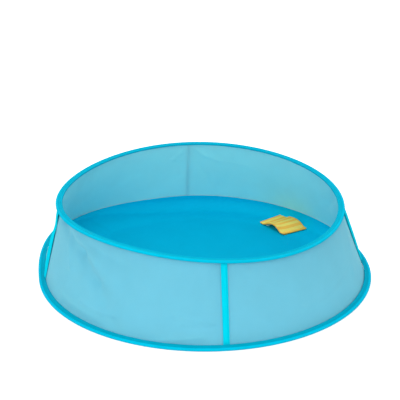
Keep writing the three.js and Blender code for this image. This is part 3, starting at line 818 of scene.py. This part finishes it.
def base_band():
    line = [
        (BASE_MIDDLE - 13 * MM, 0.6 * MM),
        (BASE_MIDDLE - 6 * MM, 0.6 * MM),
        *bulge(BASE_MIDDLE, BASE_BULGE + BAND_SKIN, BASE_BULGE),
        (BASE_MIDDLE - 3.0 * MM, 8.1 * MM),
        (BASE_MIDDLE - 5.4 * MM, 7.4 * MM),
        (BASE_MIDDLE - 7.2 * MM, 8.8 * MM),
        (BASE_MIDDLE - 8.9 * MM, 10.6 * MM),
        (BASE_MIDDLE - 11.0 * MM, 11.0 * MM),
        (BASE_MIDDLE - 13.4 * MM, 10.5 * MM),
        (BASE_MIDDLE - 16.2 * MM, 10.3 * MM),
    ]
    piece = tape_ring("base_band_tape", line)
    set_uv(piece, ring_uv)

    def place(co):
        angle, radius = angle_of(co), math.hypot(co.x, co.y)
        inner = smooth(2 * MM, 12 * MM, BASE_MIDDLE - radius) * smooth(2 * MM, 5 * MM, co.z)
        from_seam = (angle + QUARTER / 2) % QUARTER - QUARTER / 2
        tuck = inner * math.exp(-(math.radians(from_seam) * radius / (13 * MM)) ** 2)
        radius -= smooth(9 * MM, 16 * MM, BASE_MIDDLE - radius) * swell_share(angle) * 2.2 * MM
        height = co.z + inner * pucker(angle, 36, 5) * 0.5 * MM + tuck * 0.6 * MM
        return base_place(angle, radius + tuck * 1.4 * MM, height)

    move_points(piece, place)
    thicken(piece, TAPE)
    dress(piece, base_tape, "tub")
    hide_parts("base_band")


# Seams
class Seam:
    """The straight line of a seam tape, from its foot to its head."""

    def __init__(self, angle):
        out = outward(angle)
        self.foot = wall_point(angle, wall_share(angle, SEAM_FOOT)) + out * 0.3 * MM
        head = wall_point(angle, 1).z + WALL_HEAD_DROP - SEAM_HEAD_DROP
        self.head = wall_point(angle, wall_share(angle, head)) + out * SEAM_HEAD_GAP
        self.length = (self.head - self.foot).length
        self.up = (self.head - self.foot).normalized()
        self.side = out.cross(self.up).normalized()
        self.out = self.up.cross(self.side)
        self.is_left = angle == SEAM_ANGLES["left"]
        self.is_right = angle == SEAM_ANGLES["right"]

    def place(self, across, out, up):
        """A point by the tape. The left one bows in under the rim, and both side ones twist."""
        share = up / self.length
        if self.is_left:
            twist = smooth(0, 0.25, share) * (1 - smooth(0.35, 0.85, share))
            bow = math.sin(math.pi * smooth(SEAM_BOW_START, 1, share)) ** 2
            out += LEFT_TWIST * twist * (TAPE_WIDTH / 2 + across) - SEAM_BOW * bow
        if self.is_right:
            twist = smooth(0, 0.5, share) * (1 - smooth(0.75, 1, share))
            out += RIGHT_TWIST * twist * (TAPE_WIDTH / 2 - across)
        return self.foot + self.side * across + self.out * out + self.up * up


TAPE_LINE = [
    (0, 0.5), (4.6, 0.5), (8.9, 0.5), (9.5, 1.0), (8.9, 1.6), (7.7, 1.55), (6.6, 1.75), (5.2, 3.2),
    (4.0, 5.0), (2.8, 5.95), (1.4, 5.85), (0, 5.65),
]


def tape_outline_point(share):
    """A point of the tape's closed outline, in metres: its back first, then over its channel."""
    points = TAPE_LINE + [(-x, y) for x, y in reversed(TAPE_LINE[1:-1])] + [TAPE_LINE[0]]
    step = share * (len(points) - 1)
    index = min(int(step), len(points) - 2)
    (x0, y0), (x1, y1) = points[index], points[index + 1]
    part = step - index
    return (x0 + (x1 - x0) * part) * MM, (y0 + (y1 - y0) * part) * MM


def seam_tape(name, angle):
    seam = Seam(angle)
    below, above = 3.4 * MM, 2.4 * MM
    count = 2 * (len(TAPE_LINE) - 1)

    def place(across, up):
        x, y = tape_outline_point(across)
        along = -below + up * (seam.length + below + above)
        open_share = smooth(-1.5 * MM, 4 * MM, along) * smooth(-above, 3.5 * MM, seam.length - along)
        y = min(y, 1.6 * MM + (y - 1.6 * MM) * open_share) if y > 1.6 * MM else y
        return seam.place(x, y, along)

    piece = cloth_grid(f"seam_tape_cloth_{name}", count, 64, place, (42 * MM, seam.length))
    merge_doubles(piece)
    apply_modifier(piece, "SOLIDIFY", thickness=0.6 * MM, offset=-1)
    apply_modifier(piece, "SUBSURF", levels=1, render_levels=1)
    finish_mesh(piece)
    dress(piece, seam_cloth)
    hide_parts(f"seam_tape_{name}")


def seam_stay(name, angle):
    seam = Seam(angle)
    length = seam.length - 2 * STAY_END
    clear_selection()
    bpy.ops.mesh.primitive_circle_add(vertices=16, radius=STAY_RADIUS, fill_type="NGON")
    piece = named(f"seam_rod_{name}")
    edit_mode(piece)
    steps = 48
    for step in range(steps):
        bpy.ops.mesh.extrude_region_move(TRANSFORM_OT_translate={"value": (0, 0, length / steps)})
    object_mode()
    finish_mesh(piece)
    move_points(piece, lambda co: seam.place(co.x, STAY_DEPTH + co.y, STAY_END + co.z))
    dress(piece, stay_rod)
    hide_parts(f"seam_stay_{name}")


def seam_fin(name, angle):
    """The fold of cloth that joins a seam to the back of its tape. It stops short of the rim."""
    seam = Seam(angle)
    length = seam.length - FIN_STOP

    def place(across, up):
        along = (1 - up) * length
        aside = -seam.is_left * FIN_ASIDE * (1 - smooth(0.6, 0.85, along / length))
        tape = seam.place(aside, 0.3 * MM, along)
        turned = angle + math.degrees(aside / MEAN_RADIUS)
        wall = wall_point(turned, wall_share(turned, tape.z)) - outward(turned) * 0.5 * MM
        return wall.lerp(tape, across)

    piece = cloth_grid(f"seam_fin_{name}", 4, 60, place, (4 * MM, length))
    thicken(piece, 1.2 * MM, 0)
    dress(piece, fin_cloth)


def seam_fell(name, angle):
    """The folded cloth that covers a seam inside the bath."""
    foot = wall_share(angle, turn_up(angle) + PIPING + 1 * MM)
    head = wall_share(angle, wall_point(angle, 1).z - 6 * MM)

    def place(across, up):
        turn = math.degrees((across - 0.5) * FELL_WIDTH / MEAN_RADIUS)
        crown = 0.2 * MM * math.cos(math.pi * (across - 0.5))
        return wall_face(angle + turn, foot + (head - foot) * up, 1.4 * MM + crown)

    length = (head - foot) * WALL_SLANT
    piece = cloth_grid(f"seam_fell_{name}", 8, 60, place, (FELL_WIDTH, length))
    thicken(piece, 0.6 * MM, 0)
    # The fell takes the inside colour, which holds painted light against its shade.
    dress(piece, wall_lining_and_painted_light)


# Floor cloth
def corner_radius(angle):
    """How wide the cloth turns from the wall to the floor, which is tighter where the hoop swells."""
    return FLOOR_CORNER * (1 - CORNER_TIGHTENING * swell_share(angle))


def floor_corner(angle):
    """Where the cloth starts to turn from the wall to the floor, and how far the hoop lifts it there."""
    climb = wall_point(angle, 0).z - WALL_FOOT_HEIGHT
    height = FLOOR_TOP - FLOOR_CLOTH / 2 + climb + corner_radius(angle)
    return wall_face(angle, wall_share(angle, height), TURN_UP_DEPTH), climb


def floor_place(angle, inward):
    """A point of the floor cloth's middle, so far along the cloth from its turned-up edge."""
    corner, climb = floor_corner(angle)
    height = turn_up(angle) - corner.z
    bend = corner_radius(angle) * math.pi / 2
    level = FLOOR_TOP - FLOOR_CLOTH / 2
    if inward < height:
        return wall_face(angle, wall_share(angle, turn_up(angle) - inward), TURN_UP_DEPTH)
    radius = math.hypot(corner.x, corner.y)
    flat = radius - corner_radius(angle)
    if inward < height + bend:
        turn = (inward - height) / bend * math.pi / 2
        radius -= corner_radius(angle) * (1 - math.cos(turn))
        foot = level + climb * floor_slope(flat)
        drop = corner.z - foot
        return outward(angle) * radius + Vector((0, 0, foot + drop * (1 - math.sin(turn))))
    share = (inward - height - bend) / flat
    place = outward(angle) * flat * (1 - share)
    rise = climb * floor_slope(flat * (1 - share)) + floor_ripple(place, flat * share)
    return place + Vector((0, 0, level + rise))


def floor_slope(radius):
    """How far the floor has climbed with the lifted hoop at a radius, as a share."""
    edge = WALL_FOOT_RADIUS + SWELL_REACH
    return min(max((radius - FLOOR_SLOPE_START) / (edge - FLOOR_SLOPE_START), 0), 1) ** 1.2


def floor_ripple(place, from_edge):
    """Soft ripples of the loose floor cloth, flat at its edge and by the drain."""
    still = smooth(0, 60 * MM, from_edge)
    still *= smooth(60 * MM, 140 * MM, (place - DRAIN_PLACE).length)
    broad = noise.noise(Vector((place.x * 7, place.y * 7, 2)))
    small = noise.noise(Vector((place.x * 19, place.y * 19, 5)))
    tucks = 0
    for angle, lift in FLOOR_TUCKS:
        aside = math.radians((angle_of(place) - angle + 180) % 360 - 180) * place.length
        tucks += lift * math.exp(-(aside / FLOOR_TUCK_WIDTH) ** 2)
    near_edge = smooth(380 * MM, 430 * MM, place.length) * smooth(0, 20 * MM, from_edge)
    return still * (1.6 * MM * (broad + 0.7) + 0.7 * MM * (small + 0.7)) + near_edge * tucks


def floor_sheet():
    rings, steps = 96, 240
    clear_selection()
    bpy.ops.mesh.primitive_circle_add(vertices=steps, radius=1)
    piece = named("floor_sheet")
    edit_mode(piece)
    radius = 1
    for ring in range(1, rings + 1):
        bpy.ops.mesh.extrude_region_move()
        next_radius = 1 - ring / (rings + 1)
        bpy.ops.transform.resize(value=(next_radius / radius,) * 2 + (1,), center_override=(0, 0, 0))
        radius = next_radius
    bpy.ops.mesh.edge_face_add()
    object_mode()

    def place(co):
        share = (1 - math.hypot(co.x, co.y)) * (rings + 1) / rings
        angle = angle_of(co)
        return floor_place(angle, min(share, 0.995) * floor_length(angle))

    def flat(corner, middle):
        return corner.x * FLOOR_CUT_RADIUS, corner.y * FLOOR_CUT_RADIUS

    set_uv(piece, flat)
    move_points(piece, place)
    thicken(piece, FLOOR_CLOTH, 0)
    cut_drain_hole(piece)
    dress(piece, floor_cloth)
    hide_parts("floor_cloth")
    size = 2 * floor_length(0)


def floor_length(angle):
    """How long the cloth is from its turned-up edge to the middle."""
    corner = floor_corner(angle)[0]
    flat = math.hypot(corner.x, corner.y) - corner_radius(angle)
    return turn_up(angle) - corner.z + corner_radius(angle) * math.pi / 2 + flat


def cut_drain_hole(piece):
    clear_selection()
    bpy.ops.mesh.primitive_cylinder_add(vertices=48, radius=16.6 * MM, depth=30 * MM, location=DRAIN_PLACE)
    cutter = bpy.context.object
    apply_modifier(piece, "BOOLEAN", operation="DIFFERENCE", object=cutter, solver="EXACT")
    bpy.data.objects.remove(cutter)


def floor_piping():
    """The pale cord sewn on the turned-up edge."""
    half = PIPING / 2
    line = [(1 + 0.1 * math.cos(math.pi * i / 4), 0.1 * math.sin(math.pi * i / 4)) for i in range(8)]
    piece = closed_ring("floor_piping_cord", line, 240)
    set_uv(piece, ring_uv)

    def place(co):
        angle = angle_of(co)
        aside, up = (math.hypot(co.x, co.y) - 1) * 10, co.z * 10
        height = turn_up(angle) + half + up * half * 0.95
        return wall_face(angle, wall_share(angle, height), TURN_UP_DEPTH + 0.2 * MM - aside * half * 0.9)

    move_points(piece, place)
    finish_mesh(piece)
    dress(piece, piping_cord)
    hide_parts("floor_piping")


# Drain and flap
FLAP_WAY = Vector((cosine(FLAP_TURN), math.sin(math.radians(FLAP_TURN)), 0))
FLAP_SIDE = Vector((-FLAP_WAY.y, FLAP_WAY.x, 0))
FLAP_START = outward(FLAP_CENTRE_ANGLE) * FLAP_CENTRE_RADIUS - FLAP_WAY * FLAP_LENGTH / 2


def flap_height(share, side):
    """The flap's underside at a share of its length and half width.

    Its free end lifts towards the wall, and its near side lifts by the hinge.
    """
    skew = math.log(0.5) / math.log(FLAP_PEAK_SHARE)
    free = min(max((share - FLAP_FLAT_SHARE) / (1 - 2 * FLAP_FLAT_SHARE), 0), 1)
    corner = min(max(share, 0), 1) ** 1.5 * (1 - side) / 2
    near = smooth(0.3, 1, side) * (0.4 + 0.6 * smooth(0.1, 0.4, share))
    near *= 1 - smooth(0.5, 0.95, share)
    arch = FLAP_ARCH * math.sin(math.pi * free ** skew)
    return FLAP_REST + arch + FLAP_CORNER_LIFT * corner + FLAP_NEAR_LIFT * near


def flap_point(along, side, height):
    """A point by the flap: metres from its hinge end, metres to the side, height over its underside."""
    rise = flap_height(along / FLAP_LENGTH, 2 * side / FLAP_WIDTH)
    leaned = along + FLAP_SKEW * side
    return FLAP_START + FLAP_WAY * leaned + FLAP_SIDE * side + Vector((0, 0, rise + height))


def drain_flap():
    length = FLAP_LENGTH + FLAP_END_SPREAD - 2 * FLAP_EDGE
    width = FLAP_WIDTH + FLAP_FAR_SPREAD - 2 * FLAP_EDGE

    def place(across, up):
        along, side = FLAP_EDGE + up * length, (across - 0.5) * width - FLAP_FAR_SPREAD / 2
        rib = abs(math.sin(math.pi * along / (STRIPE_PITCH / 6)))
        edge = smooth(0, 0.04, min(across, 1 - across, up, 1 - up))
        return flap_point(along, side, 1.0 * MM + 0.35 * MM * rib * edge)

    piece = cloth_grid("drain_flap_cloth", 40, 180, place, (width, length))
    for corner in piece.data.uv_layers.active.data:
        corner.uv = (corner.uv[1], corner.uv[0])
    thicken(piece, 1.2 * MM, 0)
    dress(piece, flap_cloth, "flap")
    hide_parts("drain_flap")
    return piece


def flap_binding():
    """The rolled hem: a cord of flat section along the flap's rounded outline."""
    round_corner, inset = 4 * MM, 0.2 * MM
    near = FLAP_WIDTH / 2 - inset - round_corner
    start, end = inset + round_corner, FLAP_LENGTH + FLAP_END_SPREAD - inset - round_corner
    far = -near - FLAP_FAR_SPREAD
    corners = [(end, near, 0), (start, near, 90), (start, far, 180), (end, far, 270)]
    outline = []
    for along, side, turn in corners:
        for step in range(6):
            angle = math.radians(turn + 18 * step)
            out = (round_corner * math.cos(angle), round_corner * math.sin(angle))
            outline.append((along + out[0], side + out[1]))
    route = []
    for (x0, y0), (x1, y1) in zip(outline, outline[1:] + outline[:1]):
        count = max(1, round(math.hypot(x1 - x0, y1 - y0) / (2.5 * MM)))
        route += [(x0 + (x1 - x0) * i / count, y0 + (y1 - y0) * i / count) for i in range(count)]
    curve = bpy.data.curves.new("drain_flap_hem", "CURVE")
    curve.dimensions = "3D"
    curve.bevel_depth = 1.55 * MM
    curve.bevel_resolution = 4
    spline = curve.splines.new("POLY")
    spline.points.add(len(route) - 1)
    for point, (along, side) in zip(spline.points, route):
        point.co = (*flap_point(along, side, 1.45 * MM), 1)
    spline.use_cyclic_u = True
    piece = bpy.data.objects.new("drain_flap_hem", curve)
    bpy.context.collection.objects.link(piece)
    activate(piece)
    bpy.ops.object.convert(target="MESH")
    piece = bpy.context.object
    set_uv(piece, lambda corner, middle: (corner.x + corner.y, corner.z + corner.x - corner.y))
    bpy.ops.object.shade_smooth()
    dress(piece, flap_hem, "flap")
    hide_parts("drain_flap_binding")
    return piece


def rounded_pad(name, along, side, foot, size, finish, body, node):
    """A flat patch with rounded corners, under the flap."""
    clear_selection()
    bpy.ops.mesh.primitive_cube_add(size=1, scale=size)
    piece = named(name)
    apply_modifier(piece, "BEVEL", width=0.25 * MM, segments=2)
    middle = FLAP_START + FLAP_WAY * along + FLAP_SIDE * side + Vector((0, 0, foot + size[2] / 2))
    move_points(piece, lambda co: middle + FLAP_WAY * co.x + FLAP_SIDE * co.y + Vector((0, 0, co.z)))
    set_uv(piece, lambda corner, mid: (corner.x, corner.y))
    finish_mesh(piece)
    dress(piece, finish, body)
    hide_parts(node)


def drain_ring(name, line, finish, body, node, closed):
    """A round drain part, spun about the drain."""
    piece = closed_ring(name, line, 64) if closed else tape_ring(name, line, 64)
    if not closed:
        edit_mode(piece)
        bpy.ops.mesh.select_all(action="DESELECT")
        bpy.ops.mesh.select_non_manifold()
        bpy.ops.mesh.fill_holes(sides=0)
        object_mode()
    move_points(piece, lambda co: co + DRAIN_PLACE)
    apply_modifier(piece, "BEVEL", width=0.3 * MM, segments=2)
    finish_mesh(piece)
    bpy.ops.object.shade_smooth_by_angle(angle=math.radians(35))
    dress(piece, finish, body)
    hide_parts(node)


def drain():
    seat = [
        (14, 0.5), (16, 0.5), (16, 2.3), (29, 2.3), (28.2, 3.6), (26.5, 4.0), (25.5, 4.3), (19.4, 4.3),
        (18.6, 3.9), (17.4, 3.9), (16.6, 4.3), (14, 4.3),
    ]
    drain_ring("drain_seat_ring", [(r * MM, z * MM) for r, z in seat], soft_vinyl, "tub",
               "drain_seat", True)
    dome = [
        (22, 4.6), (22, 6.6), (20.5, 7.2), (15.4, 8.6), (11, 9.4), (7.7, 9.9), (4, 10.2), (1, 10.2),
    ]
    drain_ring("drain_stopper_pad", [(r * MM, z * MM) for r, z in dome], soft_vinyl, "flap",
               "drain_stopper", False)
    rounded_pad("flap_anchor_tape", 10.5 * MM, PATCH_SIDE, FLOOR_PATCH_FOOT, ANCHOR_SIZE, flap_hem,
                "tub", "drain_flap_anchor")
    hook_along = FLAP_LENGTH - HOOK_INSET
    rounded_pad("flap_loop_pad", hook_along, PATCH_SIDE, FLOOR_PATCH_FOOT, PATCH_SIZE, loop_tape,
                "tub", "flap_loop_patch")
    rounded_pad("flap_hook_pad", hook_along, PATCH_SIDE, FLAP_PATCH_FOOT, PATCH_SIZE, loop_tape,
                "flap", "flap_hook_patch")


# Stitches
def stitch_row(name, length, place, finish, body=None):
    """One stitch, repeated in a row, then bent to where place puts its length, side and height."""
    count = max(2, round(length / STITCH_PITCH))
    pitch = length / count
    clear_selection()
    bpy.ops.mesh.primitive_uv_sphere_add(segments=6, ring_count=4, radius=1)
    piece = named(name)
    half = STITCH / 2
    move_points(piece, lambda co: Vector((pitch / 2 + co.z * half, co.x * THREAD, co.y * THREAD)))
    apply_modifier(piece, "ARRAY", count=count, use_relative_offset=False, use_constant_offset=True,
                   constant_offset_displace=(pitch, 0, 0))
    move_points(piece, lambda co: place(co.x, co.y, co.z))
    finish_mesh(piece)
    dress(piece, finish, body)


def band_stitches(band, middle, rows, place, body):
    """Rows of stitches round a band."""
    for name, inset, height in rows:
        radius = middle - inset

        def on_band(along, side, up, radius=radius, height=height):
            return place(math.degrees(along / radius), radius + side, height + up)

        row, length = f"{band}_stitches_{name}", 2 * math.pi * radius
        stitch_row(row, length, on_band, band_thread, body)


def seam_stitches(name, angle):
    """Two rows along a seam's tape outside, and two along its folded cloth inside."""
    seam = Seam(angle)
    foot = wall_share(angle, turn_up(angle) + PIPING + 3 * MM)
    head = wall_share(angle, wall_point(angle, 1).z - 8 * MM)
    fell_length = (head - foot) * WALL_SLANT
    for hand, across in (("left", -SEAM_ROW), ("right", SEAM_ROW)):
        turn = math.degrees(across * FELL_ROW_SHARE / MEAN_RADIUS)

        def on_tape(along, side, up, across=across):
            return seam.place(across + side, 1.65 * MM + up, along - 4 * MM)

        def on_fell(along, side, up, turn=turn):
            turned = angle + turn + math.degrees(side / MEAN_RADIUS)
            return wall_face(turned, foot + along / WALL_SLANT, 1.85 * MM + up)

        row = f"{name}_{hand}"
        stitch_row(f"seam_stitches_{row}", seam.length + 5 * MM, on_tape, band_thread)
        stitch_row(f"fell_stitches_{row}", fell_length, on_fell, wall_thread)


def turn_up_stitches():
    """The row that holds the floor cloth's turned-up edge."""
    def on_turn_up(along, side, up):
        angle = math.degrees(along / MEAN_RADIUS)
        share = wall_share(angle, turn_up(angle) - 3 * MM + side)
        return wall_face(angle, share, TURN_UP_DEPTH + 0.55 * MM + up)

    length = 2 * math.pi * MEAN_RADIUS
    stitch_row("turn_up_stitches", length, on_turn_up, band_thread)


for panel, start in PANEL_STARTS.items():
    wall_panel(panel, start)
rim_band()
base_band()
for name, angle in SEAM_ANGLES.items():
    seam_tape(name, angle)
    seam_stay(name, angle)
    seam_fin(name, angle)
    seam_fell(name, angle)
floor_sheet()
floor_piping()
drain()
hem = flap_binding()
cloth = drain_flap()
band_stitches("rim", RIM_MIDDLE, RIM_ROWS, rim_place, "rim")
band_stitches("base", BASE_MIDDLE, BASE_ROWS, base_place, "tub")
for name, angle in SEAM_ANGLES.items():
    seam_stitches(name, angle)
turn_up_stitches()

for node, finish in {
    "base_hoop_wire": hoop_steel, "rim_hoop_wire": hoop_steel,
    "base_hoop_ferrule": ferrule_steel, "rim_hoop_ferrule": ferrule_steel,
}.items():
    paint(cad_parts[node], finish)
for node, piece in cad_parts.items():
    if node.startswith("stay_tip"):
        paint(piece, black_rubber)
